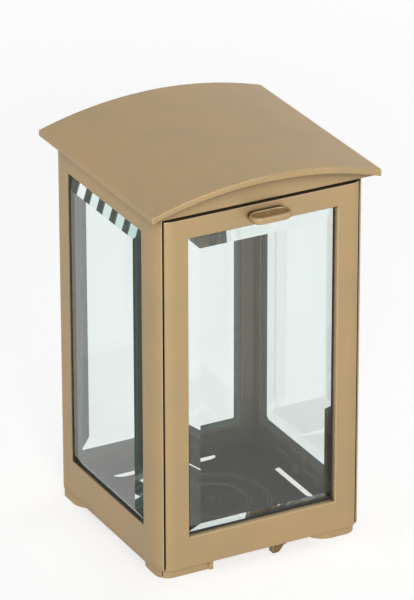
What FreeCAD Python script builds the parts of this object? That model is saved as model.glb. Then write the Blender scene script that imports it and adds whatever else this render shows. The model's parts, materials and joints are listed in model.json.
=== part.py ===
import FreeCAD, Part
import math
import os
from collections import namedtuple

V = FreeCAD.Vector

# Grave lantern: a cast bronze case on low feet, with a vaulted roof, three fixed
# bevelled panes and a glazed door that turns on two pins at its right front corner.
# Lengths are millimetres. X runs along the door, Y from the door to the back, Z up.
# The origin is the axis of the fixing hole at the level that the feet stand on.

# Case
body_width = 130.0
body_depth = 128.0
corner_radius = 10.4
foot_height = 5.5
door_height = 211.7
lintel_gap = 2.0

# Roof
roof_side_overhang = 5.2
roof_end_overhang = 5.2
roof_rise = 10.8
roof_thickness = 4.3
roof_edge_radius = 0.9
eaves_lift = 1.0
lintel_inset = 1.5
seat_gap = 0.1

# Wall castings and the seams between them
rebate_depth = 5.5
panel_lip = 3.2
door_lip = 4.8
seam_inset = 4.9
door_seam = 0.9
panel_seam = 0.15
stop_gap = 0.4
arris = 0.5
root_depth = 2.0

# Metal left round the windows
front_stile = 18.9
front_sill = 18.5
front_rail = 12.0
side_stile = 19.45
side_sill = 22.1
side_rail = 13.0

# Panes
glass_thickness = 9.5
pane_lap = 2.0
pane_play = 0.4
pane_bed = 0.1
bevel_width = 9.0
pane_edge = 3.4

# Feet
foot_inset = 2.2
back_foot_inset = 0.5
foot_length = 31.0
foot_width = 14.8
foot_end_radius = 12.0
foot_seam = 0.6
door_rise = 0.5

# Base plate
plate_thickness = 2.8
plate_play = 0.2
sill_gap = 1.4
side_notch_depth = 5.7
side_notch_length = 47.0
back_notch_depth = 8.6
back_notch_length = 61.0
ring_radii = (34.0, 22.0)
ring_width = 2.2
ring_height = 1.2
fixing_radius = 4.25
fixing_boss_radius = 9.0
rib_place = 31.9
rib_thickness = 2.4
lug_inset = 1.1

# Ties at the top corners, and the lip that stops the door
tie_thickness = 3.0
tie_reach = 12.0
tie_length = 12.0
tie_inset = 12.5
door_lap = 1.0
lip_thickness = 2.2
lip_end = 12.8
roof_boss_radius = 5.0

# Hinge
hinge_inset = 11.0
hinge_depth = 4.6
hinge_pin_radius = 1.5
hinge_play = 0.05
pin_reach = 8.0
pin_floor = 1.0
pin_top_play = 0.4
collar_radius = 2.6
heel_relief = 3.6
door_end_round = 0.8
stop_round = 1.0

# Screws
screw_radius = 1.7
screw_play = 0.05
head_radius = 3.2
head_height = 1.8
head_sink = 1.8
slot_width = 0.8
slot_depth = 0.9
screw_grip = 4.0
base_screw_inset = 3.1
base_screw_bite = 2.0
roof_screw_bite = 4.5

# Glass clips
clip_length = 47.0
clip_width = 7.0
clip_thickness = 1.8
clip_nip = 2.0
clip_tab_length = 18.0
clip_hide = 0.7
clip_nose = 1.4
clip_seat = 0.15

# Door pull
pull_width = 24.6
pull_reach = 11.4
pull_offset = 0.9
pull_thickness = 3.8
pull_dish = 0.8
pull_rim = 1.8
pull_break = 0.7
pull_screw_bite = 6.0

# Door catch
catch_place = 11.5
catch_width = 8.4
catch_strip = 0.8
catch_length = 27.0
catch_tab_depth = 4.6
catch_tab_land = 3.0
catch_clear = 0.1
catch_nub_radius = 1.6
catch_screw_setback = 6.0

# Shares of a neighbouring size
corner_share = 0.9
pull_hole_share = 0.6
low_clip_share = 0.54
high_clip_share = 0.533
catch_bow_share = 0.17

# Cuts run past the metal by this much, and places closer than this are the same
overrun = 5.0
same_place = 0.0001

# Planes and levels worked out from the sizes above
left = -body_width / 2
right = body_width / 2
front = -body_depth / 2
back = body_depth / 2
panel_bottom = foot_height
door_top = panel_bottom + door_height
lintel_bottom = door_top + lintel_gap
eaves_level = lintel_bottom + eaves_lift
roof_half_width = right + roof_side_overhang
roof_half_depth = back + roof_end_overhang
lintel_half = roof_half_width - lintel_inset
roof_radius = (roof_half_width ** 2 + roof_rise ** 2) / (2 * roof_rise)
roof_axis = eaves_level + roof_rise - roof_radius
roof_crown = roof_axis + roof_radius + roof_thickness
panel_thickness = panel_lip + rebate_depth
door_half = right - seam_inset
flange_half = door_half + door_seam
panel_half = flange_half - panel_seam
wall_inside = right - panel_thickness
tie_half = wall_inside - panel_seam
door_back = front + door_lip + rebate_depth
door_stop = door_back + stop_gap
back_inside = back - panel_thickness
plate_top = panel_bottom + plate_thickness
plate_front = door_back + sill_gap
plate_back = back_inside - plate_play
plate_half = wall_inside - plate_play
foot_inner = foot_inset + foot_width
front_foot_top = panel_bottom - door_rise
tie_bottom = lintel_bottom - tie_thickness
flange_top = lintel_bottom + tie_thickness
tie_end = back - tie_inset
tie_start = tie_end - tie_length
tie_screw_x = wall_inside - tie_reach / 2
tie_screw_y = tie_start + tie_length / 2
hinge_x = right - hinge_inset
hinge_y = front + hinge_depth
pin_hole_radius = hinge_pin_radius + screw_play
hole_radius = screw_radius + screw_play
clip_half = clip_width / 2
bevel_slope = (glass_thickness - pane_edge) / bevel_width
bevel_rise = bevel_slope * (bevel_width - pane_lap)
pane_grip = glass_thickness - bevel_rise
base_screw_x = plate_half - base_screw_inset
base_screw_y = back - (foot_inner + foot_length) / 2
head_seat = head_height + head_sink
catch_end = front + lug_inset + catch_length
catch_screw_y = catch_end - catch_screw_setback
catch_screw_seat = front_foot_top - catch_strip

# One side of the case: its turn from the front in degrees, how far out its face stands,
# the depth of its lip, half the window's width, the levels of the window's edges and those
# of its clips. Whatever belongs to a side is drawn at the front and turned to its place.
Side = namedtuple("Side", "turn distance lip half low high low_clip high_clip")


def side_of(turn, distance, lip, half, sill, rail, top):
    """Side with its window between a sill and a rail."""
    low = panel_bottom + sill
    high = top - rail
    return Side(turn, distance, lip, half, low, high, low - low_clip_share * sill,
                high + high_clip_share * rail)


door_side = side_of(0, back, door_lip, right - front_stile, front_sill, front_rail, door_top)
back_side = side_of(180, back, panel_lip, right - front_stile, front_sill, front_rail, door_top)
left_side = side_of(-90, right, panel_lip, back - side_stile, side_sill, side_rail, lintel_bottom)
right_side = left_side._replace(turn=90)


def inside_of(side):
    """Plane of the inner face of a side, drawn at the front."""
    return side.lip + rebate_depth - side.distance


def turned(shape, side):
    """Copy of a shape drawn at the front, turned to its own side of the case."""
    copy = shape.copy()
    copy.rotate(V(0, 0, 0), V(0, 0, 1), side.turn)
    return copy


def mirrored(shape, across):
    """Copy of a shape mirrored through the origin across X or Y."""
    return shape.mirror(V(0, 0, 0), across)


def box(x0, x1, y0, y1, z0, z1):
    """Block between two opposite corners."""
    return Part.makeBox(x1 - x0, y1 - y0, z1 - z0, V(x0, y0, z0))


def rod(radius, start, end):
    """Round bar between two points."""
    axis = end - start
    return Part.makeCylinder(radius, axis.Length, start, axis)


def post(radius, x, y, z0, z1):
    """Upright round bar between two levels."""
    return rod(radius, V(x, y, z0), V(x, y, z1))


def prism(points, along):
    """Solid swept straight from a flat outline."""
    return Part.Face(Part.makePolygon(points + points[:1])).extrude(along)


def near(a, b):
    """True where two places are the same, apart from rounding."""
    return abs(a - b) < same_place


def straight_edges(shape, test):
    """Straight edges whose middle passes a test."""
    return [e for e in shape.Edges if isinstance(e.Curve, Part.Line) and test(e.CenterOfMass)]


def solid_of(shape):
    """The one solid of a finished piece."""
    clean = shape.removeSplitter()
    if len(clean.Solids) != 1:
        raise ValueError("a piece fell into %d solids" % len(clean.Solids))
    return clean.Solids[0]


def rounded_slab(inset, z0, z1):
    """Upright block over the plan of the case, drawn in by an inset, with round corners."""
    half_x = right - inset
    half_y = back - inset
    block = box(-half_x, half_x, -half_y, half_y, z0, z1)
    corners = straight_edges(block, lambda c: near(abs(c.x), half_x) and near(abs(c.y), half_y))
    return block.makeFillet(corner_radius - inset, corners)


def vault(radius, z0, half_depth):
    """Everything below an arched surface about the roof's axis, down to a level."""
    side_level = roof_axis + math.sqrt(radius ** 2 - roof_half_width ** 2)
    a = V(-roof_half_width, -half_depth, side_level)
    b = V(roof_half_width, -half_depth, side_level)
    low_a = V(a.x, a.y, z0)
    low_b = V(b.x, b.y, z0)
    edges = [
        Part.Arc(a, V(0, -half_depth, roof_axis + radius), b).toShape(),
        Part.LineSegment(b, low_b).toShape(),
        Part.LineSegment(low_b, low_a).toShape(),
        Part.LineSegment(low_a, a).toShape(),
    ]
    return Part.Face(Part.Wire(edges)).extrude(V(0, 2 * half_depth, 0))


under_roof = vault(roof_radius - seat_gap, panel_bottom, roof_half_depth)
case_block = rounded_slab(0, panel_bottom, roof_crown).common(under_roof)


def window(side):
    """Tool that cuts a window and, behind its lip, the rebate for the pane."""
    lap = pane_lap + pane_play
    hole = box(-side.half, side.half, -side.distance - overrun, overrun + inside_of(side),
               side.low, side.high)
    rebate = box(-side.half - lap, side.half + lap, side.lip - side.distance,
                 inside_of(side) + overrun, side.low - lap, side.high + lap)
    return turned(hole.fuse(rebate), side)


def break_rim(shape, side):
    """Break the sharp outer arris of a window."""
    to_front = FreeCAD.Rotation(V(0, 0, 1), -side.turn)

    def on_rim(middle):
        c = to_front.multVec(middle)
        jamb = near(abs(c.x), side.half) and side.low < c.z < side.high
        level = near(c.x, 0) and (near(c.z, side.low) or near(c.z, side.high))
        return near(c.y, -side.distance) and (jamb or level)
    return shape.makeChamfer(arris, straight_edges(shape, on_rim))


def clip_holes(shape, side, levels):
    """Shape with the tapped holes for the clip screws of one side."""
    inside = inside_of(side)
    for level in levels:
        hole = rod(hole_radius, V(0, inside, level), V(0, inside - screw_grip, level))
        shape = shape.cut(turned(hole, side))
    return shape


def tie_holes(shape, places):
    """Shape with upright holes for the roof screws."""
    for x, y in places:
        shape = shape.cut(post(hole_radius, x, y, tie_bottom - overrun, flange_top + overrun))
    return shape


def side_foot(inset):
    """Half foot under the front end of the left wall, up to the casting's lower edge."""
    x0 = left + inset
    y1 = front + foot_length
    block = box(x0, left + foot_inner, front, y1, 0, foot_height)
    outer_end = straight_edges(block, lambda c: near(c.x, x0) and near(c.y, y1))
    foot = block.makeFillet(foot_end_radius, outer_end).common(rounded_slab(inset, 0, foot_height))
    return foot.cut(box(-flange_half, 0, front, front + foot_inner, -overrun, foot_height + overrun))


def cross_foot(inset, top):
    """Half foot under the left end of the front casting."""
    x1 = left + foot_length
    y0 = front + inset
    block = box(-flange_half + foot_seam, x1, y0, front + foot_inner - foot_seam, 0, top)
    outer_end = straight_edges(block, lambda c: near(c.x, x1) and near(c.y, y0))
    return block.makeFillet(foot_end_radius, outer_end).common(rounded_slab(inset, 0, foot_height))


def side_wall():
    """Left wall casting: window, rebates for the door and back wall, a seat for the lintel, ties
    and half feet."""
    wall = case_block.common(box(left, -wall_inside, front, back, panel_bottom, roof_crown))
    wall = wall.cut(window(left_side))
    past_inside = -wall_inside + overrun
    wall = wall.cut(box(-flange_half, past_inside, front - overrun, door_stop, 0, roof_crown))
    stop_edge = straight_edges(wall, lambda c: near(c.x, -wall_inside) and near(c.y, door_stop))
    wall = wall.makeFillet(stop_round, stop_edge)
    wall = wall.cut(box(left - overrun, past_inside, front - overrun, door_stop,
                        lintel_bottom - seat_gap, roof_crown))
    wall = wall.cut(box(-flange_half, past_inside, back_inside - panel_seam, back + overrun, 0,
                        roof_crown))
    wall = break_rim(wall, left_side)
    tie = box(-wall_inside - root_depth, -wall_inside + tie_reach, tie_start, tie_end, tie_bottom,
              lintel_bottom - seat_gap)
    front_foot = side_foot(foot_inset)
    back_foot = mirrored(side_foot(back_foot_inset), V(0, 1, 0))
    for part in (tie, mirrored(tie, V(0, 1, 0)), front_foot, back_foot):
        wall = wall.fuse(part)
    for side in (-1, 1):
        wall = tie_holes(wall, [(-tie_screw_x, side * tie_screw_y)])
        y = side * base_screw_y
        wall = wall.cut(post(hole_radius, -base_screw_x, y, 0, foot_height))
        wall = wall.cut(post(head_radius + screw_play, -base_screw_x, y, -overrun, head_seat))
    return solid_of(clip_holes(wall, left_side, (left_side.low_clip, left_side.high_clip)))


def back_wall():
    """Back wall casting: arched top, window, top flange and half feet."""
    wall = case_block.common(box(-panel_half, panel_half, back_inside, back, panel_bottom, roof_crown))
    wall = wall.cut(window(back_side))
    wall = wall.fuse(box(-tie_half, tie_half, tie_start, back_inside + root_depth, lintel_bottom,
                         flange_top))
    wall = break_rim(wall, back_side)
    foot = mirrored(cross_foot(back_foot_inset, foot_height), V(0, 1, 0))
    wall = wall.fuse(foot).fuse(mirrored(foot, V(1, 0, 0)))
    wall = tie_holes(wall, [(-tie_screw_x, tie_screw_y), (tie_screw_x, tie_screw_y)])
    return solid_of(clip_holes(wall, back_side, (back_side.low_clip, back_side.high_clip)))


def front_lintel():
    """Arched member over the door, laid across the side walls and out under the eaves, with the
    flange that carries the roof and the door's stop."""
    beam = under_roof.common(box(-lintel_half, lintel_half, front, door_back, lintel_bottom, roof_crown))
    beam = beam.fuse(box(-tie_half, tie_half, door_back - root_depth, -tie_start, lintel_bottom,
                         flange_top))
    lip_half = wall_inside - lip_end
    beam = beam.fuse(box(-lip_half, lip_half, door_stop, door_stop + lip_thickness,
                         door_top - door_lap, flange_top))
    beam = tie_holes(beam, [(-tie_screw_x, -tie_screw_y), (tie_screw_x, -tie_screw_y)])
    return solid_of(beam.cut(post(pin_hole_radius, hinge_x, hinge_y, door_top, roof_crown)))


def roof():
    """Barrel-vaulted plate with an overhang all round and four bosses for its screws."""
    outer = vault(roof_radius + roof_thickness, eaves_level, roof_half_depth)
    plate = outer.cut(vault(roof_radius, eaves_level - overrun, roof_half_depth + overrun))
    long_edges = [e for e in plate.Edges if e.Length > roof_half_width]
    plate = plate.makeFillet(roof_edge_radius, long_edges)
    boss_room = vault(roof_radius + roof_thickness / 2, eaves_level, roof_half_depth)
    for sx in (-1, 1):
        for sy in (-1, 1):
            x, y = sx * tie_screw_x, sy * tie_screw_y
            boss = post(roof_boss_radius, x, y, flange_top, roof_crown)
            hole = post(hole_radius, x, y, flange_top, flange_top + roof_screw_bite + seat_gap)
            plate = plate.fuse(boss.common(boss_room)).cut(hole)
    return solid_of(plate)


def notch(depth, length, edge):
    """Open recess in the right edge of the base plate, with quarter-round inner corners."""
    inner = edge - depth
    half = length / 2
    shape = box(inner, edge + overrun, -half, half, 0, plate_top + overrun)
    corners = straight_edges(shape, lambda c: near(c.x, inner) and near(abs(c.y), half))
    return shape.makeFillet(depth * corner_share, corners)


def raised_ring(radius):
    """Low ring on the base plate that keeps a candle in the middle."""
    top = plate_top + ring_height
    return post(radius, 0, 0, panel_bottom, top).cut(post(radius - ring_width, 0, 0, 0, top + overrun))


def stepped(low_shape, rear_front):
    """Piece under the sill: low below the door, full height behind the plate's front edge."""
    rear = low_shape.common(box(left, right, rear_front, back, 0, front_foot_top))
    lift = rear.copy()
    lift.translate(V(0, 0, door_rise))
    return low_shape.fuse(rear).fuse(lift)


def base_plate():
    """Floor casting with edge recesses, raised rings, the front half feet and the fixing boss."""
    plate = box(-plate_half, plate_half, plate_front, plate_back, panel_bottom, plate_top)
    side = notch(side_notch_depth, side_notch_length, plate_half)
    rear = notch(back_notch_depth, back_notch_length, plate_back)
    rear.rotate(V(0, 0, 0), V(0, 0, 1), 90)
    plate = plate.cut(side).cut(mirrored(side, V(1, 0, 0))).cut(rear)
    for radius in ring_radii:
        plate = plate.fuse(raised_ring(radius))
    plate = plate.fuse(post(fixing_boss_radius, 0, 0, 0, plate_top))

    round_foot = mirrored(cross_foot(foot_inset, front_foot_top), V(1, 0, 0))
    square_foot = box(-flange_half + foot_seam, -rib_place, front + foot_inset,
                      front + foot_inner - foot_seam, 0, front_foot_top)
    square_foot = square_foot.common(rounded_slab(foot_inset, 0, foot_height))
    rib = box(-rib_place - rib_thickness / 2, -rib_place + rib_thickness / 2, front + lug_inset,
              front + foot_inner - foot_seam, 0, front_foot_top)
    for part in (round_foot, square_foot.fuse(rib)):
        plate = plate.fuse(stepped(part, plate_front))
    plate = plate.fuse(box(catch_place - catch_width / 2, catch_place + catch_width / 2,
                           catch_end - 2 * catch_screw_setback, catch_end, front_foot_top,
                           panel_bottom))

    plate = plate.cut(post(fixing_radius, 0, 0, -overrun, plate_top + overrun))
    for sx in (-1, 1):
        for sy in (-1, 1):
            plate = plate.cut(post(hole_radius, sx * base_screw_x, sy * base_screw_y, 0,
                                   panel_bottom + base_screw_bite + seat_gap))
    plate = plate.cut(post(hole_radius, catch_place, catch_screw_y, catch_screw_seat,
                           plate_top - seat_gap))
    return solid_of(plate.cut(post(pin_hole_radius, hinge_x, hinge_y, pin_floor, panel_bottom)))


def door_frame():
    """Door casting: window with a rebate for the pane, rounded ends and a relieved hinge heel."""
    frame = case_block.common(box(-door_half, door_half, front, door_back, panel_bottom, door_top))
    frame = frame.cut(window(door_side))
    heel = straight_edges(frame, lambda c: near(c.x, door_half) and near(c.y, door_back))
    frame = frame.makeChamfer(heel_relief, heel)
    ends = straight_edges(frame, lambda c: near(abs(c.x), door_half) and c.y < hinge_y)
    frame = frame.makeFillet(door_end_round, [e for e in ends if e.Length > door_height / 2])
    frame = break_rim(frame, door_side)
    bore = hinge_pin_radius + hinge_play
    frame = frame.cut(post(bore, hinge_x, hinge_y, 0, panel_bottom + pin_reach))
    frame = frame.cut(post(bore, hinge_x, hinge_y, door_top - pin_reach, roof_crown))
    frame = clip_holes(frame, door_side, (door_side.low_clip,))
    level = door_side.high_clip
    return solid_of(frame.cut(rod(hole_radius, V(0, door_back, level), V(0, front, level))))


def door_pull():
    """Oblong finger lug with round ends and a dished upper face."""
    level = door_side.high_clip
    half_reach = pull_reach / 2
    middle = front - half_reach
    straight = pull_width / 2 - half_reach
    z0 = level - pull_thickness / 2
    z1 = level + pull_thickness / 2

    def oblong(radius, low, high):
        shape = box(pull_offset - straight, pull_offset + straight, middle - radius,
                    middle + radius, low, high)
        for side in (-1, 1):
            shape = shape.fuse(post(radius, pull_offset + side * straight, middle, low, high))
        return shape.removeSplitter()
    lug = oblong(half_reach, z0, z1)
    rim = [e for e in lug.Edges if near(e.CenterOfMass.z, z0) or near(e.CenterOfMass.z, z1)]
    lug = lug.makeChamfer(pull_break, rim)
    lug = lug.cut(oblong(half_reach - pull_rim, z1 - pull_dish, z1 + overrun))
    hole_end = V(0, front - pull_screw_bite - screw_play, level)
    return solid_of(lug.cut(rod(screw_radius * pull_hole_share, V(0, front, level), hole_end)))


def pane(side):
    """Bevelled pane: flat inner face, and four mitred bevels ground on the outer face, which
    wedge it against the lip of the window so that its middle stands in the opening."""
    half = side.half + pane_lap
    z0 = side.low - pane_lap
    z1 = side.high + pane_lap
    outer = side.lip + pane_bed - bevel_rise - side.distance
    glass = box(-half, half, outer, outer + glass_thickness, z0, z1)
    before = outer - bevel_slope * overrun
    wedge = ((-overrun, outer + bevel_slope * (bevel_width + overrun)),
             (bevel_width + overrun, before), (-overrun, before))
    for way in (-1, 1):
        upright = [V(way * (half - u), y, z0 - overrun) for u, y in wedge]
        glass = glass.cut(prism(upright, V(0, 0, z1 - z0 + 2 * overrun)))
    for level, way in ((z0, 1), (z1, -1)):
        flat = [V(-half - overrun, y, level + way * u) for u, y in wedge]
        glass = glass.cut(prism(flat, V(2 * (half + overrun), 0, 0)))
    return turned(solid_of(glass), side)


def clip(side, way):
    """Glass clip behind a rail: a bar with a nose that reaches the pane; way is 1 above the
    window and -1 below it."""
    inside = inside_of(side)
    middle = side.high_clip if way > 0 else side.low_clip
    edge = side.high if way > 0 else side.low
    half = clip_length / 2
    half_tab = clip_tab_length / 2
    bar = box(-half, half, inside, inside + clip_thickness, middle - clip_half, middle + clip_half)
    corners = straight_edges(bar, lambda c: near(abs(c.x), half) and near(abs(c.z - middle), clip_half))
    bar = bar.makeChamfer(clip_nip, corners)
    tip = edge + way * clip_hide
    heel = tip + way * clip_nose
    bar = bar.fuse(box(-half_tab, half_tab, inside, inside + clip_thickness, min(tip, middle),
                       max(tip, middle)))
    nose_depth = rebate_depth - pane_bed - pane_grip - clip_seat
    bar = bar.fuse(box(-half_tab, half_tab, inside - nose_depth, inside, min(tip, heel),
                       max(tip, heel)))
    hole = rod(hole_radius, V(0, inside - overrun, middle), V(0, inside + overrun, middle))
    return turned(solid_of(bar.cut(hole)), side)


def screw(place, along, grip):
    """Slotted cheese-head screw; place is under its head and along points down the shank."""
    body = rod(screw_radius, place, place + along * grip)
    body = body.fuse(rod(head_radius, place - along * head_height, place))
    lengthwise = V(along.y, along.z, along.x)
    across = lengthwise.cross(along)
    floor = place - along * (head_height - slot_depth)
    corners = []
    for u, w in ((-1, -1), (1, -1), (1, 1), (-1, 1)):
        corners.append(floor + lengthwise * (u * (head_radius + overrun)) + across * (w * slot_width / 2))
    return solid_of(body.cut(prism(corners, along * -overrun)))


def clip_screws(side, levels):
    """Screws that hold the clips of one side."""
    head = inside_of(side) + clip_thickness
    reach = screw_grip + clip_thickness - screw_play
    return [turned(screw(V(0, head, level), V(0, -1, 0), reach), side) for level in levels]


def pull_screw():
    """Screw through the upper door clip and the top rail into the pull."""
    level = door_side.high_clip
    head = V(0, door_back + clip_thickness, level)
    shank_end = V(0, front + screw_play, level)
    shank = screw(head, V(0, -1, 0), head.y - shank_end.y)
    tip = V(0, front - pull_screw_bite, level)
    return solid_of(shank.fuse(rod(screw_radius * pull_hole_share - screw_play, shank_end, tip)))


def screws_at(x, y, level, grip):
    """Four upright screws, one near each corner."""
    found = []
    for sx in (-1, 1):
        for sy in (-1, 1):
            found.append(screw(V(sx * x, sy * y, level), V(0, 0, 1), grip))
    return found


def bowed(a, b, rise):
    """Arc between two points whose middle is lifted above the straight line."""
    return Part.Arc(a, (a + b) * (1 / 2) + V(0, 0, rise), b).toShape()


def door_catch():
    """Spring strip under the sill, with a hooked thumb tab in front and a nub under the door."""
    x0 = catch_place - catch_width / 2
    x1 = catch_place + catch_width / 2
    y0 = front + lug_inset
    z0 = catch_screw_seat
    z1 = front_foot_top
    strip = box(x0, x1, y0, catch_end, z0, z1)
    land = x0 + catch_tab_land
    half_way = (catch_clear + z1) / 2
    bow = (half_way - catch_clear) * catch_bow_share
    low, middle = V(land, y0, catch_clear), V((land + x1) / 2, y0, half_way)
    top_left, top_right = V(x0, y0, z1), V(x1, y0, z1)
    bottom = V(x0, y0, catch_clear)
    edges = [
        Part.LineSegment(top_left, bottom).toShape(),
        Part.LineSegment(bottom, low).toShape(),
        bowed(low, middle, -bow),
        bowed(middle, top_right, bow),
        Part.LineSegment(top_right, top_left).toShape(),
    ]
    tab = Part.Face(Part.Wire(edges)).extrude(V(0, catch_tab_depth, 0))
    nub_level = panel_bottom - catch_clear - catch_nub_radius
    ball = Part.makeSphere(catch_nub_radius, V(catch_place, (front + door_back) / 2, nub_level))
    nub = ball.common(box(x0, x1, front, plate_front, z0, panel_bottom))
    hole = post(hole_radius, catch_place, catch_screw_y, 0, plate_top)
    return solid_of(strip.fuse(tab).fuse(nub).cut(hole))


def lower_hinge_pin():
    """Pin in the front right foot, with the collar that the door turns on."""
    pin = post(hinge_pin_radius, hinge_x, hinge_y, pin_floor, panel_bottom + pin_reach - pin_top_play)
    return solid_of(pin.fuse(post(collar_radius, hinge_x, hinge_y, front_foot_top, panel_bottom)))


def upper_hinge_pin():
    """Pin that hangs from the lintel into the top of the door."""
    roof_here = roof_axis + math.sqrt(roof_radius ** 2 - (hinge_x + hinge_pin_radius) ** 2)
    return post(hinge_pin_radius, hinge_x, hinge_y, door_top - pin_reach + pin_top_play,
                roof_here - pin_top_play)


def build():
    """All the nodes by name; a list is a group of like fasteners."""
    left_wall = side_wall()
    nodes = {
        "left_wall": left_wall,
        "right_wall": mirrored(left_wall, V(1, 0, 0)),
        "back_wall": back_wall(),
        "front_lintel": front_lintel(),
        "roof": roof(),
        "base_plate": base_plate(),
        "door_frame": door_frame(),
        "door_pull": door_pull(),
        "door_pull_screw": pull_screw(),
        "door_catch": door_catch(),
        "door_catch_screw": screw(V(catch_place, catch_screw_y, catch_screw_seat), V(0, 0, 1),
                                  plate_top - 2 * seat_gap - catch_screw_seat),
        "lower_hinge_pin": lower_hinge_pin(),
        "upper_hinge_pin": upper_hinge_pin(),
        "roof_screws": screws_at(tie_screw_x, tie_screw_y, tie_bottom,
                                 flange_top + roof_screw_bite - tie_bottom),
        "base_screws": screws_at(base_screw_x, base_screw_y, head_seat,
                                 panel_bottom + base_screw_bite - head_seat),
    }
    sides = {"door": door_side, "back": back_side, "left": left_side, "right": right_side}
    for name, side in sides.items():
        nodes[name + "_glass"] = pane(side)
        nodes["lower_%s_clip" % name] = clip(side, -1)
        nodes["upper_%s_clip" % name] = clip(side, 1)
        levels = (side.low_clip,) if name == "door" else (side.low_clip, side.high_clip)
        nodes[name + "_clip_screws"] = clip_screws(side, levels)
    return nodes


def export(nodes):
    """One STEP file for each node."""
    os.makedirs("parts", exist_ok=True)
    for name, shape in nodes.items():
        body = Part.makeCompound(shape) if isinstance(shape, list) else shape
        if not body.isValid():
            raise ValueError(name + " isn't valid")
        body.exportStep("parts/%s.step" % name)
        print(name, len(body.Solids), body.Volume)


export(build())
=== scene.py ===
"""Finishes, glazing seals and a studio for the grave lantern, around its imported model."""

import json
import math

import bmesh
import bpy
from mathutils import Matrix, Vector


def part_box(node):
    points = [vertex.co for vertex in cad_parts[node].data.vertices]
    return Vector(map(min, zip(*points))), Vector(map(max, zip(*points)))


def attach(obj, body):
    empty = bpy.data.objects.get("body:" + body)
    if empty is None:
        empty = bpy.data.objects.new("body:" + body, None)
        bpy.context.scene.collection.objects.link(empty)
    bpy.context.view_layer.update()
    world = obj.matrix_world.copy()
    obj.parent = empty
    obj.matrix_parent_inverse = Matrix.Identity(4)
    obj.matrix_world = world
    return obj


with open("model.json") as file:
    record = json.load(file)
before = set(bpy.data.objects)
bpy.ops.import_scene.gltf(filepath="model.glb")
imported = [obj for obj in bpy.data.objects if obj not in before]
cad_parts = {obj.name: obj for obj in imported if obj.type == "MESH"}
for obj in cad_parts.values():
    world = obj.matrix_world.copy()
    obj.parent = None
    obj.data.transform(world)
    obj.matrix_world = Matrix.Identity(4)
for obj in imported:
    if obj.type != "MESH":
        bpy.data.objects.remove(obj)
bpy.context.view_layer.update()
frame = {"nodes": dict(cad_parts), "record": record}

bl_info = {
    "name": "Grave Lantern",
    "version": (1, 0, 0),
    "blender": (4, 5, 0),
    "location": "3D View > Sidebar > Lantern",
    "description": "Bronze, bevelled glass, seals and a light studio for a grave lantern",
    "category": "Object",
}

MM = 0.001
NODES = frame["nodes"]
SLOTS = {row["node"]: row["material_slot"] for row in frame["record"]["subparts"]}

# Depth of the lip in front of a pane, in the walls and in the door
PANEL_LIP = 3.2 * MM
DOOR_LIP = 4.8 * MM

# Panes: how far each runs behind its lip, and the bevel that wedges it there
PANE_LAP = 2.0 * MM
GLASS_THICKNESS = 9.5 * MM
PANE_EDGE = 3.4 * MM
BEVEL_WIDTH = 9.0 * MM
BEVEL_SLOPE = (GLASS_THICKNESS - PANE_EDGE) / BEVEL_WIDTH
BEVEL_RISE = BEVEL_SLOPE * (BEVEL_WIDTH - PANE_LAP)

# Windows, and how far each is turned from the front
WINDOWS = (("door", 0), ("right", 90), ("back", 180), ("left", -90))

# Inside of the case: from just over its underside to just over the roof, which is counted from
# the eaves. The fixing hole is lifted into it, so that its wall is dark all the way down.
ROOM_BOTTOM = 5.6 * MM
ROOM_RISE = 16 * MM
HOLE_REACH = 5 * MM
HOLE_LIFT = 6 * MM

# Readings between which an effect comes in: of noise for the clouds, of the light left in a corner for both
# painted shades, of an edge's turn for its wear and painted highlight, and of how far a surface faces up for
# that highlight
CLOUD_LIMITS = (0.35, 0.65)
CORNER_SHADE_LIMITS = (0.55, 0.93)
SEAM_SHADE_LIMITS = (0.4, 0.72)
WEAR_LIMITS = (0.99, 0.9)
HIGHLIGHT_UP_LIMITS = (-0.35, 0.1)

# The painted shade is whole at this many times the level below which it is kept off, which in seams is a
# share of their reach. A seam's painted shade reaches at most this many times as far as the corners of its
# piece.
CLEAR_FADE = 3
SEAM_CLEAR = 0.5
SEAM_PER_REACH = 2

# The patina inside is darkest below this share of the level below which it turns darker
DARKEST_SHARE = 0.25
CLOUDED_PATINA = (0.8, 0.8, 0.8, 1.0)
PATINA_ROUGHNESS = 0.8
PATINA_SPECULAR = 0.05

# Cast and brushed surface: lines run up and down, and the grit makes the sheen uneven
SHADE_SAMPLES = 6
CLOUD_DETAIL = 4.0
GRAIN_DETAIL = 3.0
BRUSH_DETAIL = 1.0
BRUSH_STRETCH = 0.06
BRUSH_WEIGHT = 0.35
CAST_BUMP = 0.3
ROUGH_LESS = 0.06
ROUGH_MORE = 0.08

# Glass as good as flat, and putty with paler flecks
WAVE_BUMP = 0.02
PUTTY_FLECK = 1.6
PUTTY_BUMP = 0.5
PUTTY_ROUGHNESS = 0.6

# Studio, in metres. Light crosses two panes and is mirrored inside their bevels on its way, so
# it needs many bounces.
FLOOR_SIDES = 96
FLOOR_DROP = 0.2 * MM
LAMP_AIM = (0, 0, 0.12)
VIEW_REACH = 50
BOUNCES = {"max_bounces": 64, "transmission_bounces": 40, "glossy_bounces": 40,
           "transparent_max_bounces": 24}


def hex_linear(text):
    """Linear colour of an sRGB hex value, with alpha."""
    values = []
    for start in (0, 2, 4):
        level = int(text[start:start + 2], 16) / 255
        values.append(level / 12.92 if level <= 0.04045 else ((level + 0.055) / 1.055) ** 2.4)
    return (*values, 1.0)


def colour(name, description, default):
    """Colour setting."""
    return bpy.props.FloatVectorProperty(name=name, description=description, subtype="COLOR", size=4,
                                         default=hex_linear(default), min=0, max=1)


def length(name, description, default):
    """Length setting."""
    return bpy.props.FloatProperty(name=name, description=description, unit="LENGTH",
                                   default=default, min=0)


def share(name, description, default):
    """Setting between nothing and all."""
    return bpy.props.FloatProperty(name=name, description=description, default=default, min=0, max=1)


def power(name, description, default):
    """Lamp power setting."""
    return bpy.props.FloatProperty(name=name, description=description, unit="POWER",
                                   default=default, min=0)


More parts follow.
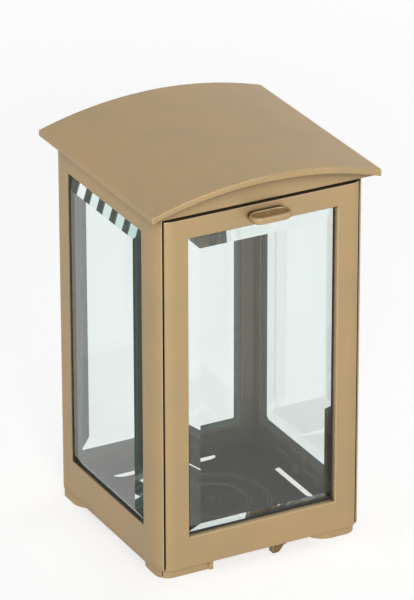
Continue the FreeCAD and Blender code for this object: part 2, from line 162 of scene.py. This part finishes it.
def position(name, description, default):
    """Setting for a point in space."""
    return bpy.props.FloatVectorProperty(name=name, description=description, subtype="TRANSLATION",
                                         unit="LENGTH", size=3, default=default)


class LanternMetal(bpy.types.PropertyGroup):
    """Colours and grain of the castings and fasteners."""

    bronze: colour("Bronze", "Lacquered bronze of the castings", "B79E75")
    warm: colour("Warm bronze", "Warmer clouds in the lacquer", "BFA174")
    # Partly wear and partly painted highlight: it brightens only edges that face up and stand clear of
    # corners
    wear_and_highlight: colour("Worn edge", "Brighter bronze along handled edges", "F0DDB8")
    # Painted shade: darkens corners, seams and the wall under the eaves, where shade falls
    corner_shade: colour("Soiled corner", "Dark film that stays in corners and seams", "2A241C")
    inside: colour("Inside", "Dark patina inside the case", "585040")
    # Patina inside, taken on towards the bottom
    floor: colour("Inside floor", "Darker patina low down, where soot and wax settle", "241F0C")
    # Wear inside with painted highlight, on edges that face up and stand clear of corners
    inside_wear_and_highlight: colour("Rubbed patina", "Edges inside, rubbed through the patina", "8A7C62")
    brass: colour("Brass", "Turned brass of pins and screws", "A99160")
    spring: colour("Spring bronze", "Rolled strip of the door catch", "846840")
    metallic: share("Metal share", "How metallic the lacquered bronze looks", 0.4)
    cast_roughness: share("Cast roughness", "Roughness of the lacquered castings", 0.46)
    strip_roughness: share("Clip roughness", "Roughness of the glass clips", 0.5)
    brass_roughness: share("Brass roughness", "Roughness of the turned pins and screws", 0.38)
    spring_roughness: share("Catch roughness", "Roughness of the rolled catch", 0.4)
    # Strength of the painted shade in corners and seams
    painted_shade: share("Film", "How much the dark film covers at most", 0.95)
    cloud: length("Cloud size", "Size of the colour clouds", 26 * MM)
    # Casting sand leaves grit of about 0.3 mm, and brush lines stand about 0.1 mm apart. Both are
    # too fine to show from where the camera stands, and are drawn as coarse as they need to show.
    grit: length("Sand grit", "Grain left by the casting sand", 0.9 * MM)
    brush: length("Brush line", "Spacing of the brush lines", 0.35 * MM)
    relief: length("Relief", "Depth of the grit and the brush lines", 0.05 * MM)
    # Reach of the wear and painted highlight along edges
    edge: length("Edge width", "Reach of the wear along edges", 0.55 * MM)
    # Reach of the painted shade in corners and under the eaves
    corner: length("Corner reach", "Reach of the film in corners", 10 * MM)
    # Shorter reach of the painted shade on the door
    door_shade_reach: length("Door corner reach", "Reach of the film on the door, which is wiped", 1.8 * MM)
    # Reach of the painted shade between pieces
    seam: length("Seam reach", "Reach of the dark line in seams between pieces", 3 * MM)
    # The painted shade is faded out below this height, so that the floor beneath adds none to the feet
    foot: length("Clean foot", "Level below which the stone keeps the film off", 3 * MM)
    # Height below which the patina inside turns darker towards the bottom
    darker_level: length("Settled level", "Level below which the patina inside is darker", 45 * MM)


class LanternGlazing(bpy.types.PropertyGroup):
    """Colours and sizes of the panes and the seals round them."""

    glass: colour("Glass", "Surface tint of the glass", "FBFDFC")
    depth: colour("Glass depth", "Colour that the glass takes on through its depth", "BFE3DE")
    seal: colour("Seal", "Dark sealing putty", "1A1815")
    bed: colour("Bed", "Older putty behind the lip, seen through the glass", "464D44")
    ior: bpy.props.FloatProperty(
        name="Glass IOR", description="Index of refraction of float glass", default=1.52, min=1, max=3)
    density: bpy.props.FloatProperty(
        name="Depth density", description="How fast the glass takes on its depth colour, per metre",
        default=9.0, min=0)
    wave: length("Glass wave", "Spacing of the faint waves in the glass", 40 * MM)
    wave_relief: length("Wave relief", "Depth of the faint waves in the glass", 0.1 * MM)
    seal_size: length("Seal size", "Width of the seal on the pane", 0.7 * MM)
    seal_gap: length("Seal gap", "Air between the seal and its neighbours", 0.03 * MM)
    # The chalk in putty is far finer, so this is drawn as coarse as it needs to show
    seal_grain: length("Seal grain", "Grain of the putty", 0.5 * MM)
    seal_relief: length("Seal relief", "Depth of the lumps in the putty", 0.1 * MM)


class LanternStudio(bpy.types.PropertyGroup):
    """Camera, floor and lamps."""

    camera_place: position("Camera place", "Where the camera stands", (-1.09205, -2.06323, 1.2179))
    camera_aim: position("Camera aim", "Point in the middle of the picture", (-0.00083, 0.00044, 0.1329))
    camera_roll: bpy.props.FloatProperty(
        name="Camera roll", description="Turn about the line of sight", subtype="ANGLE",
        default=math.radians(-0.117))
    lens: bpy.props.FloatProperty(
        name="Lens", description="Focal length over a 36 mm long side", unit="CAMERA",
        default=275.98, min=10, max=1000)
    paper: colour("Paper", "Pale floor", "C8C8C8")
    paper_glow: share("Paper glow", "White that the paper shows by itself, as overexposed paper does", 0.66)
    floor_radius: length("Floor radius", "Reach of the floor", 4.0)
    fade_start: length("Fade start", "Where the floor starts to turn plain white", 0.3)
    fade_end: length("Fade end", "Where the floor is plain white", 1.2)
    key_place: position("Key place", "Where the lamp beside the camera stands", (-1.2, -3.0, 1.05))
    key_power: power("Key light", "Power of the lamp beside the camera", 62.0)
    top_place: position("Top place", "Where the lamp above, on the right, hangs", (2.0, 0.8, 2.4))
    top_power: power("Top light", "Power of the lamp above, on the right", 9.0)
    lamp_size: length("Lamp size", "Side of each square lamp", 1.4)
    sky: share("Sky", "Light that the white surroundings give to plain surfaces", 0.32)


def add(tree, kind, settings=None, **inputs):
    """New node; settings are its properties, inputs its sockets as values or as sockets to link."""
    node = tree.nodes.new(kind)
    for name, value in (settings or {}).items():
        setattr(node, name, value)
    for name, value in inputs.items():
        place = int(name[1:]) if name[1:].isdigit() else name.replace("_", " ")
        if isinstance(value, bpy.types.NodeSocket):
            tree.links.new(value, node.inputs[place])
        else:
            node.inputs[place].default_value = value
    return node


def new_material(name):
    """Empty node material and its tree."""
    material = bpy.data.materials.new(name)
    material.use_nodes = True
    material.node_tree.nodes.clear()
    return material, material.node_tree


def joined_tests(tree, tests, joint):
    """Socket that joins tests of sockets against limits: by product for all, by maximum for any."""
    joined = None
    for operation, socket, limit in tests:
        test = add(tree, "ShaderNodeMath", {"operation": operation}, _0=socket, _1=limit).outputs[0]
        if joined is not None:
            test = add(tree, "ShaderNodeMath", {"operation": joint}, _0=joined, _1=test).outputs[0]
        joined = test
    return joined


def inside_case(tree, place, under_roof):
    """Socket that is 1 on surfaces inside the closed case and 0 outside it."""
    split = add(tree, "ShaderNodeSeparateXYZ", Vector=place)
    across = add(tree, "ShaderNodeMath", {"operation": "ABSOLUTE"}, _0=split.outputs["X"])
    flat = add(tree, "ShaderNodeVectorMath", {"operation": "MULTIPLY"}, _0=place, _1=(1, 1, 0))
    from_axis = add(tree, "ShaderNodeVectorMath", {"operation": "LENGTH"}, _0=flat.outputs[0])
    in_hole = add(tree, "ShaderNodeMath", {"operation": "LESS_THAN"}, _0=from_axis.outputs["Value"],
                  _1=HOLE_REACH)
    height = add(tree, "ShaderNodeMath", {"operation": "MULTIPLY_ADD"}, _0=in_hole.outputs[0],
                 _1=HOLE_LIFT, _2=split.outputs["Z"])
    limits = [
        ("LESS_THAN", across.outputs[0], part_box("right_wall")[1].x - PANEL_LIP),
        ("GREATER_THAN", split.outputs["Y"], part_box("front_lintel")[0].y + DOOR_LIP),
        ("LESS_THAN", split.outputs["Y"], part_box("back_wall")[1].y - PANEL_LIP),
        ("GREATER_THAN", height.outputs[0], ROOM_BOTTOM),
    ]
    if under_roof:
        facing = add(tree, "ShaderNodeNewGeometry").outputs["True Normal"]
        limits.append(("LESS_THAN", add(tree, "ShaderNodeSeparateXYZ", Vector=facing).outputs["Z"], 0.0))
    else:
        limits.append(("LESS_THAN", split.outputs["Z"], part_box("roof")[0].z + ROOM_RISE))
    return joined_tests(tree, limits, "MULTIPLY")


def painted_shade_share(tree, height, shade, limits, clear):
    """Socket with the share of painted shade where neighbours are close, none low down near the floor."""
    painted_shade = add(tree, "ShaderNodeMapRange", Value=shade, _1=limits[0], _2=limits[1],
               _3=bpy.context.scene.lantern_metal.painted_shade, _4=0.0)
    above = add(tree, "ShaderNodeMapRange", Value=height, _1=clear, _2=CLEAR_FADE * clear)
    return add(tree, "ShaderNodeMath", {"operation": "MULTIPLY"}, _0=painted_shade.outputs[0],
               _1=above.outputs[0]).outputs[0]


def corner_and_seam_shade(tree, height, shade, reach):
    """Socket with the painted shade of corners, and of the seams between pieces."""
    metal = bpy.context.scene.lantern_metal
    wide = painted_shade_share(tree, height, shade, CORNER_SHADE_LIMITS, metal.foot)
    # Painted shade in the seams between pieces
    seam = add(tree, "ShaderNodeAmbientOcclusion", {"samples": SHADE_SAMPLES},
               Distance=min(metal.seam, SEAM_PER_REACH * reach))
    line = painted_shade_share(tree, height, seam.outputs["AO"], SEAM_SHADE_LIMITS, SEAM_CLEAR * metal.seam)
    return add(tree, "ShaderNodeMath", {"operation": "MAXIMUM"}, _0=wide, _1=line).outputs[0]


def edge_wear_and_highlight(tree, rounded, shade):
    """Socket with the share of wear and painted highlight on open edges that don't face down."""
    facing = add(tree, "ShaderNodeNewGeometry").outputs["Normal"]
    turn = add(tree, "ShaderNodeVectorMath", {"operation": "DOT_PRODUCT"}, _0=rounded, _1=facing)
    wear = add(tree, "ShaderNodeMapRange", Value=turn.outputs["Value"], _1=WEAR_LIMITS[0],
               _2=WEAR_LIMITS[1], _3=0.0, _4=1.0)
    upward = add(tree, "ShaderNodeSeparateXYZ", Vector=rounded).outputs["Z"]
    # Painted highlight: only edges that face up catch it, as light falls from above
    lit_from_above = add(tree, "ShaderNodeMapRange", Value=upward, _1=HIGHLIGHT_UP_LIMITS[0], _2=HIGHLIGHT_UP_LIMITS[1])
    open_edge = add(tree, "ShaderNodeMath", {"operation": "MULTIPLY"}, _0=wear.outputs[0], _1=shade)
    return add(tree, "ShaderNodeMath", {"operation": "MULTIPLY"}, _0=open_edge.outputs[0],
               _1=lit_from_above.outputs[0]).outputs[0]


def cast_metal(name, outer, cloudy, roughness, reach, under_roof=False):
    """Lacquered metal outside and dark patina inside: clouds, worn edges with painted highlight, painted
    shade in corners and seams, grain.
    """
    metal = bpy.context.scene.lantern_metal
    material, tree = new_material(name)
    place = add(tree, "ShaderNodeTexCoord").outputs["Object"]
    height = add(tree, "ShaderNodeSeparateXYZ", Vector=place).outputs["Z"]
    # Light left in a corner: it drives the painted shade and keeps the painted highlight off shaded edges
    corner = add(tree, "ShaderNodeAmbientOcclusion", {"samples": SHADE_SAMPLES}, Distance=reach)
    shade = corner.outputs["AO"]
    rounded = add(tree, "ShaderNodeBevel", {"samples": SHADE_SAMPLES}, Radius=metal.edge).outputs[0]
    # Wear and painted highlight along edges
    wear_and_highlight = edge_wear_and_highlight(tree, rounded, shade)

    clouds = add(tree, "ShaderNodeTexNoise", Vector=place, Scale=1 / metal.cloud,
                 Detail=CLOUD_DETAIL)
    cloud = add(tree, "ShaderNodeMapRange", Value=clouds.outputs[0], _1=CLOUD_LIMITS[0],
                _2=CLOUD_LIMITS[1]).outputs[0]
    tone = add(tree, "ShaderNodeMix", {"data_type": "RGBA"}, _0=cloud, _6=outer, _7=cloudy)
    # Painted shade in corners and seams
    tone = add(tree, "ShaderNodeMix", {"data_type": "RGBA"}, _0=corner_and_seam_shade(tree, height, shade, reach),
               _6=tone.outputs[2], _7=tuple(metal.corner_shade))
    # Wear and painted highlight along edges
    tone = add(tree, "ShaderNodeMix", {"data_type": "RGBA"}, _0=wear_and_highlight, _6=tone.outputs[2],
               _7=tuple(metal.wear_and_highlight))

    grit = add(tree, "ShaderNodeTexNoise", Vector=place, Scale=1 / metal.grit,
               Detail=GRAIN_DETAIL).outputs[0]
    stretched = add(tree, "ShaderNodeMapping", Vector=place, Scale=(1.0, 1.0, BRUSH_STRETCH))
    brush = add(tree, "ShaderNodeTexNoise", Vector=stretched.outputs[0], Scale=1 / metal.brush,
                Detail=BRUSH_DETAIL)
    relief = add(tree, "ShaderNodeMath", {"operation": "MULTIPLY_ADD"}, _0=brush.outputs[0],
                 _1=BRUSH_WEIGHT, _2=grit)
    bump = add(tree, "ShaderNodeBump", Height=relief.outputs[0], Strength=CAST_BUMP,
               Distance=metal.relief, Normal=rounded).outputs[0]
    rough = add(tree, "ShaderNodeMapRange", Value=grit, _3=roughness - ROUGH_LESS,
                _4=roughness + ROUGH_MORE)
    lacquered = add(tree, "ShaderNodeBsdfPrincipled", Base_Color=tone.outputs[2],
                    Metallic=metal.metallic, Roughness=rough.outputs[0], Normal=bump)

    # Patina inside, darker towards the bottom
    raised = add(tree, "ShaderNodeMapRange", Value=height, _1=DARKEST_SHARE * metal.darker_level,
                 _2=metal.darker_level)
    patina = add(tree, "ShaderNodeMix", {"data_type": "RGBA"}, _0=raised.outputs[0],
                 _6=tuple(metal.floor), _7=tuple(metal.inside))
    patina = add(tree, "ShaderNodeMix", {"data_type": "RGBA", "blend_type": "MULTIPLY"},
                 _0=cloud, _6=patina.outputs[2], _7=CLOUDED_PATINA)
    # Wear and painted highlight along edges inside
    patina = add(tree, "ShaderNodeMix", {"data_type": "RGBA"}, _0=wear_and_highlight, _6=patina.outputs[2],
                 _7=tuple(metal.inside_wear_and_highlight))
    dark = add(tree, "ShaderNodeBsdfPrincipled", Base_Color=patina.outputs[2], Metallic=0.0,
               Roughness=PATINA_ROUGHNESS, Specular_IOR_Level=PATINA_SPECULAR, Normal=bump)
    both = add(tree, "ShaderNodeMixShader", _0=inside_case(tree, place, under_roof),
               _1=lacquered.outputs[0], _2=dark.outputs[0])
    add(tree, "ShaderNodeOutputMaterial", Surface=both.outputs[0])
    return material


def window_of(side):
    """Axis along the window that a pane stands in, its half width, lower and upper level."""
    low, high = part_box(side + "_glass")
    along = 1 if side in ("left", "right") else 0
    half = (high[along] - low[along]) / 2 - PANE_LAP
    return along, half, low.z + PANE_LAP, high.z - PANE_LAP


def behind_lip(tree, place, side):
    """Socket that is 1 where a pane lies behind the lip of its window, bedded in putty."""
    along, half, low, high = window_of(side)
    split = add(tree, "ShaderNodeSeparateXYZ", Vector=place)
    across = add(tree, "ShaderNodeMath", {"operation": "ABSOLUTE"}, _0=split.outputs[along])
    limits = [("GREATER_THAN", across.outputs[0], half),
              ("LESS_THAN", split.outputs["Z"], low),
              ("GREATER_THAN", split.outputs["Z"], high)]
    return joined_tests(tree, limits, "MAXIMUM")


def float_glass(name, side):
    """Polished float glass with ground and polished bevels, a little green through its depth.

    It lets light through to the inside, and its edges behind the lip show the putty bed."""
    glazing = bpy.context.scene.lantern_glazing
    material, tree = new_material(name)
    place = add(tree, "ShaderNodeTexCoord").outputs["Object"]
    wave = add(tree, "ShaderNodeTexNoise", Vector=place, Scale=1 / glazing.wave, Detail=0.0)
    bump = add(tree, "ShaderNodeBump", Height=wave.outputs[0], Strength=WAVE_BUMP,
               Distance=glazing.wave_relief)
    glass = add(tree, "ShaderNodeBsdfPrincipled", Base_Color=tuple(glazing.glass), Roughness=0.0,
                IOR=glazing.ior, Transmission_Weight=1.0, Normal=bump.outputs[0])
    bed = add(tree, "ShaderNodeBsdfDiffuse", Color=tuple(glazing.bed))
    edged = add(tree, "ShaderNodeMixShader", _0=behind_lip(tree, place, side), _1=glass.outputs[0],
                _2=bed.outputs[0])
    clear = add(tree, "ShaderNodeBsdfTransparent")
    path = add(tree, "ShaderNodeLightPath")
    both = add(tree, "ShaderNodeMixShader", _0=path.outputs["Is Shadow Ray"], _1=edged.outputs[0],
               _2=clear.outputs[0])
    depth = add(tree, "ShaderNodeVolumeAbsorption", Color=tuple(glazing.depth), Density=glazing.density)
    add(tree, "ShaderNodeOutputMaterial", Surface=both.outputs[0], Volume=depth.outputs[0])
    return material


def putty():
    """Dark sealing putty, smoothed by hand: dull and slightly lumpy."""
    glazing = bpy.context.scene.lantern_glazing
    material, tree = new_material("glazing_putty")
    place = add(tree, "ShaderNodeTexCoord").outputs["Object"]
    grain = add(tree, "ShaderNodeTexNoise", Vector=place, Scale=1 / glazing.seal_grain,
                Detail=GRAIN_DETAIL)
    tone = add(tree, "ShaderNodeMix", {"data_type": "RGBA"}, _0=grain.outputs[0], _6=tuple(glazing.seal),
               _7=tuple(PUTTY_FLECK * value for value in glazing.seal))
    bump = add(tree, "ShaderNodeBump", Height=grain.outputs[0], Strength=PUTTY_BUMP,
               Distance=glazing.seal_relief)
    body = add(tree, "ShaderNodeBsdfPrincipled", Base_Color=tone.outputs[2], Roughness=PUTTY_ROUGHNESS,
               Normal=bump.outputs[0])
    add(tree, "ShaderNodeOutputMaterial", Surface=body.outputs[0])
    return material


def nodes_of(slot):
    """Names of the lantern's pieces in one material slot."""
    return [name for name, used in SLOTS.items() if used == slot]


def dress(names, material):
    """Give a material to the named pieces."""
    for name in names:
        NODES[name].data.materials.clear()
        NODES[name].data.materials.append(material)


class LANTERN_OT_castings(bpy.types.Operator):
    """Lacquered cast bronze for the walls, lintel, roof, base, door and finger lug"""

    bl_idname = "lantern.castings"
    bl_label = "Castings"

    def execute(self, context):
        metal = context.scene.lantern_metal
        finish = (tuple(metal.bronze), tuple(metal.warm), metal.cast_roughness)
        # Sand cast, brushed and lacquered: a soft golden sheen, worn arrises with painted highlight, and
        # painted shade in the corners
        dress(nodes_of("cast_bronze"), cast_metal("lacquered_cast_bronze", *finish, metal.corner))
        # The same, with its patina on all that faces down under the arch
        dress(["roof"], cast_metal("lacquered_bronze_roof", *finish, metal.corner, True))
        # The same, with the painted corner shade reaching less far, so that it stays in the seams
        dress(["door_frame"], cast_metal("lacquered_bronze_door", *finish, metal.door_shade_reach))
        # The same, with the painted corner shade reaching only as far as the edge wear
        dress(["door_pull"], cast_metal("bronze_lug_short_shade", *finish, metal.edge))
        return {"FINISHED"}


class LANTERN_OT_fasteners(bpy.types.Operator):
    """Patinated clips, turned brass pins and screws, and the spring catch"""

    bl_idname = "lantern.fasteners"
    bl_label = "Clips, screws, pins and catch"

    def execute(self, context):
        metal = context.scene.lantern_metal
        inside = tuple(metal.inside)
        brass = tuple(metal.brass)
        spring = tuple(metal.spring)
        # Pressed strip, patinated like the inside: dull and dark
        dress(nodes_of("clip_bronze"),
              cast_metal("patinated_bronze_strip", inside, inside, metal.strip_roughness, metal.corner))
        # Turned on a lathe: plain yellow metal with a tight sheen
        dress(nodes_of("turned_brass"),
              cast_metal("turned_brass", brass, brass, metal.brass_roughness, metal.corner))
        # Rolled thin and hard: smooth, browner than the castings
        dress(nodes_of("spring_bronze"),
              cast_metal("rolled_spring_bronze", spring, spring, metal.spring_roughness, metal.corner))
        return {"FINISHED"}


class LANTERN_OT_panes(bpy.types.Operator):
    """Bevelled float glass in all four windows"""

    bl_idname = "lantern.panes"
    bl_label = "Panes"

    def execute(self, context):
        # Flat and clear, with bevels that bend what lies behind them into stripes
        dress(["door_glass", "back_glass"], float_glass("bevelled_glass_front", "door"))
        dress(["left_glass", "right_glass"], float_glass("bevelled_glass_side", "left"))
        return {"FINISHED"}


def seal_ring(side, turn, section):
    """Mesh of the putty round one window: drawn at the front as a section carried round its four
    corners, then turned to its side."""
    along, half, bottom, top = window_of(side)
    low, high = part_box(side + "_glass")
    plane = BEVEL_RISE - max(abs(low[1 - along]), abs(high[1 - along]))
    shape = bmesh.new()
    rings = []
    for u, z, way_u, way_z in ((-half, bottom, 1, 1), (half, bottom, -1, 1),
                               (half, top, -1, -1), (-half, top, 1, -1)):
        rings.append([shape.verts.new((u + way_u * inset, plane - stand, z + way_z * inset))
                      for inset, stand in section])
    for corner, ring in enumerate(rings):
        other = rings[(corner + 1) % len(rings)]
        for point in range(len(section)):
            after = (point + 1) % len(section)
            shape.faces.new((ring[point], ring[after], other[after], other[point]))
    bmesh.ops.recalc_face_normals(shape, faces=shape.faces)
    bmesh.ops.rotate(shape, verts=shape.verts, cent=(0, 0, 0),
                     matrix=Matrix.Rotation(math.radians(turn), 3, "Z"))
    mesh = bpy.data.meshes.new(side + "_seal")
    shape.to_mesh(mesh)
    shape.free()
    return mesh


class LANTERN_OT_seals(bpy.types.Operator):
    """Wedge of putty between each pane and the lip of its window"""

    bl_idname = "lantern.seals"
    bl_label = "Glazing seals"

    def execute(self, context):
        glazing = context.scene.lantern_glazing
        material = putty()
        gap, size = glazing.seal_gap, glazing.seal_size
        section = ((gap, gap), (gap, BEVEL_SLOPE * size + size), (size, BEVEL_SLOPE * size + gap))
        for side, turn in WINDOWS:
            mesh = seal_ring(side, turn, section)
            mesh.materials.append(material)
            seal = bpy.data.objects.new(side + "_seal", mesh)
            context.scene.collection.objects.link(seal)
            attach(seal, "door" if side == "door" else "case")
        return {"FINISHED"}


def seen_directly(tree):
    """Socket that is 1 for rays from the camera and for mirrored and refracted ones."""
    path = add(tree, "ShaderNodeLightPath")
    seen = path.outputs["Is Camera Ray"]
    for ray in ("Is Glossy Ray", "Is Transmission Ray"):
        seen = add(tree, "ShaderNodeMath", {"operation": "MAXIMUM"}, _0=seen,
                   _1=path.outputs[ray]).outputs[0]
    return seen


def studio_floor(settings):
    """Pale paper floor that turns plain white away from the lantern."""
    mesh = bpy.data.meshes.new("floor")
    shape = bmesh.new()
    bmesh.ops.create_circle(shape, cap_ends=True, radius=settings.floor_radius, segments=FLOOR_SIDES)
    shape.to_mesh(mesh)
    shape.free()
    floor = bpy.data.objects.new("floor", mesh)
    floor.location.z = -FLOOR_DROP
    material, tree = new_material("studio_paper")
    paper = add(tree, "ShaderNodeBsdfDiffuse", Color=tuple(settings.paper))
    lift = add(tree, "ShaderNodeMath", {"operation": "MULTIPLY"}, _0=seen_directly(tree),
               _1=settings.paper_glow)
    glow = add(tree, "ShaderNodeEmission", Strength=lift.outputs[0])
    near = add(tree, "ShaderNodeAddShader", _0=paper.outputs[0], _1=glow.outputs[0])
    place = add(tree, "ShaderNodeTexCoord").outputs["Object"]
    reach = add(tree, "ShaderNodeVectorMath", {"operation": "LENGTH"}, _0=place)
    fade = add(tree, "ShaderNodeMapRange", {"interpolation_type": "SMOOTHSTEP"},
               _0=reach.outputs["Value"], _1=settings.fade_start, _2=settings.fade_end)
    white = add(tree, "ShaderNodeEmission")
    far = add(tree, "ShaderNodeMixShader", _0=fade.outputs[0], _1=near.outputs[0], _2=white.outputs[0])
    add(tree, "ShaderNodeOutputMaterial", Surface=far.outputs[0])
    mesh.materials.append(material)
    return floor


def white_world(settings):
    """Surroundings that look plain white and light plain surfaces softly."""
    world = bpy.data.worlds.new("white_studio")
    world.use_nodes = True
    tree = world.node_tree
    tree.nodes.clear()
    strength = add(tree, "ShaderNodeMapRange", _0=seen_directly(tree), _3=settings.sky, _4=1.0)
    sky = add(tree, "ShaderNodeBackground", Color=(1, 1, 1, 1), Strength=strength.outputs[0])
    add(tree, "ShaderNodeOutputWorld", Surface=sky.outputs[0])
    return world


def soft_lamp(name, place, watts, size):
    """Square lamp that is aimed at the middle of the lantern."""
    light = bpy.data.lights.new(name, "AREA")
    light.size = size
    light.energy = watts
    lamp = bpy.data.objects.new(name, light)
    lamp.location = place
    lamp.rotation_mode = "QUATERNION"
    lamp.rotation_quaternion = (Vector(LAMP_AIM) - lamp.location).to_track_quat("-Z", "Y")
    return lamp


def studio_camera(settings):
    """Camera at the photo's angle."""
    data = bpy.data.cameras.new("camera")
    data.lens = settings.lens
    data.clip_end = VIEW_REACH
    camera = bpy.data.objects.new("camera", data)
    camera.location = settings.camera_place
    aim = Vector(settings.camera_aim) - camera.location
    roll = Matrix.Rotation(settings.camera_roll, 3, "Z")
    camera.rotation_mode = "QUATERNION"
    camera.rotation_quaternion = (aim.to_track_quat("-Z", "Y").to_matrix() @ roll).to_quaternion()
    return camera


class LANTERN_OT_stage(bpy.types.Operator):
    """Pale floor, white surroundings, two soft lamps and the camera"""

    bl_idname = "lantern.stage"
    bl_label = "Stage"

    def execute(self, context):
        settings = context.scene.lantern_studio
        scene = context.scene
        scene.view_settings.view_transform = "Standard"
        for name, count in BOUNCES.items():
            setattr(scene.cycles, name, count)
        floor = studio_floor(settings)
        scene.collection.objects.link(floor)
        scene.world = white_world(settings)
        for lamp in (soft_lamp("key_light", settings.key_place, settings.key_power, settings.lamp_size),
                     soft_lamp("top_light", settings.top_place, settings.top_power, settings.lamp_size)):
            scene.collection.objects.link(lamp)
        scene.camera = studio_camera(settings)
        scene.collection.objects.link(scene.camera)
        return {"FINISHED"}


class LANTERN_PT_panel(bpy.types.Panel):
    """Lists the steps that dress the lantern"""

    bl_idname = "LANTERN_PT_panel"
    bl_label = "Grave lantern"
    bl_space_type = "VIEW_3D"
    bl_region_type = "UI"
    bl_category = "Lantern"

    def draw(self, context):
        for operator in OPERATORS:
            self.layout.operator(operator.bl_idname)


GROUPS = {"lantern_metal": LanternMetal, "lantern_glazing": LanternGlazing, "lantern_studio": LanternStudio}
OPERATORS = (LANTERN_OT_castings, LANTERN_OT_fasteners, LANTERN_OT_panes, LANTERN_OT_seals, LANTERN_OT_stage)
CLASSES = (*GROUPS.values(), *OPERATORS, LANTERN_PT_panel)


def register():
    for kind in CLASSES:
        bpy.utils.register_class(kind)
    for name, group in GROUPS.items():
        setattr(bpy.types.Scene, name, bpy.props.PointerProperty(type=group))


def unregister():
    for name in GROUPS:
        delattr(bpy.types.Scene, name)
    for kind in reversed(CLASSES):
        bpy.utils.unregister_class(kind)


def main():
    register()
    for step in (bpy.ops.lantern.castings, bpy.ops.lantern.fasteners, bpy.ops.lantern.panes,
                 bpy.ops.lantern.seals, bpy.ops.lantern.stage):
        step()


if __name__ == "__main__":
    main()
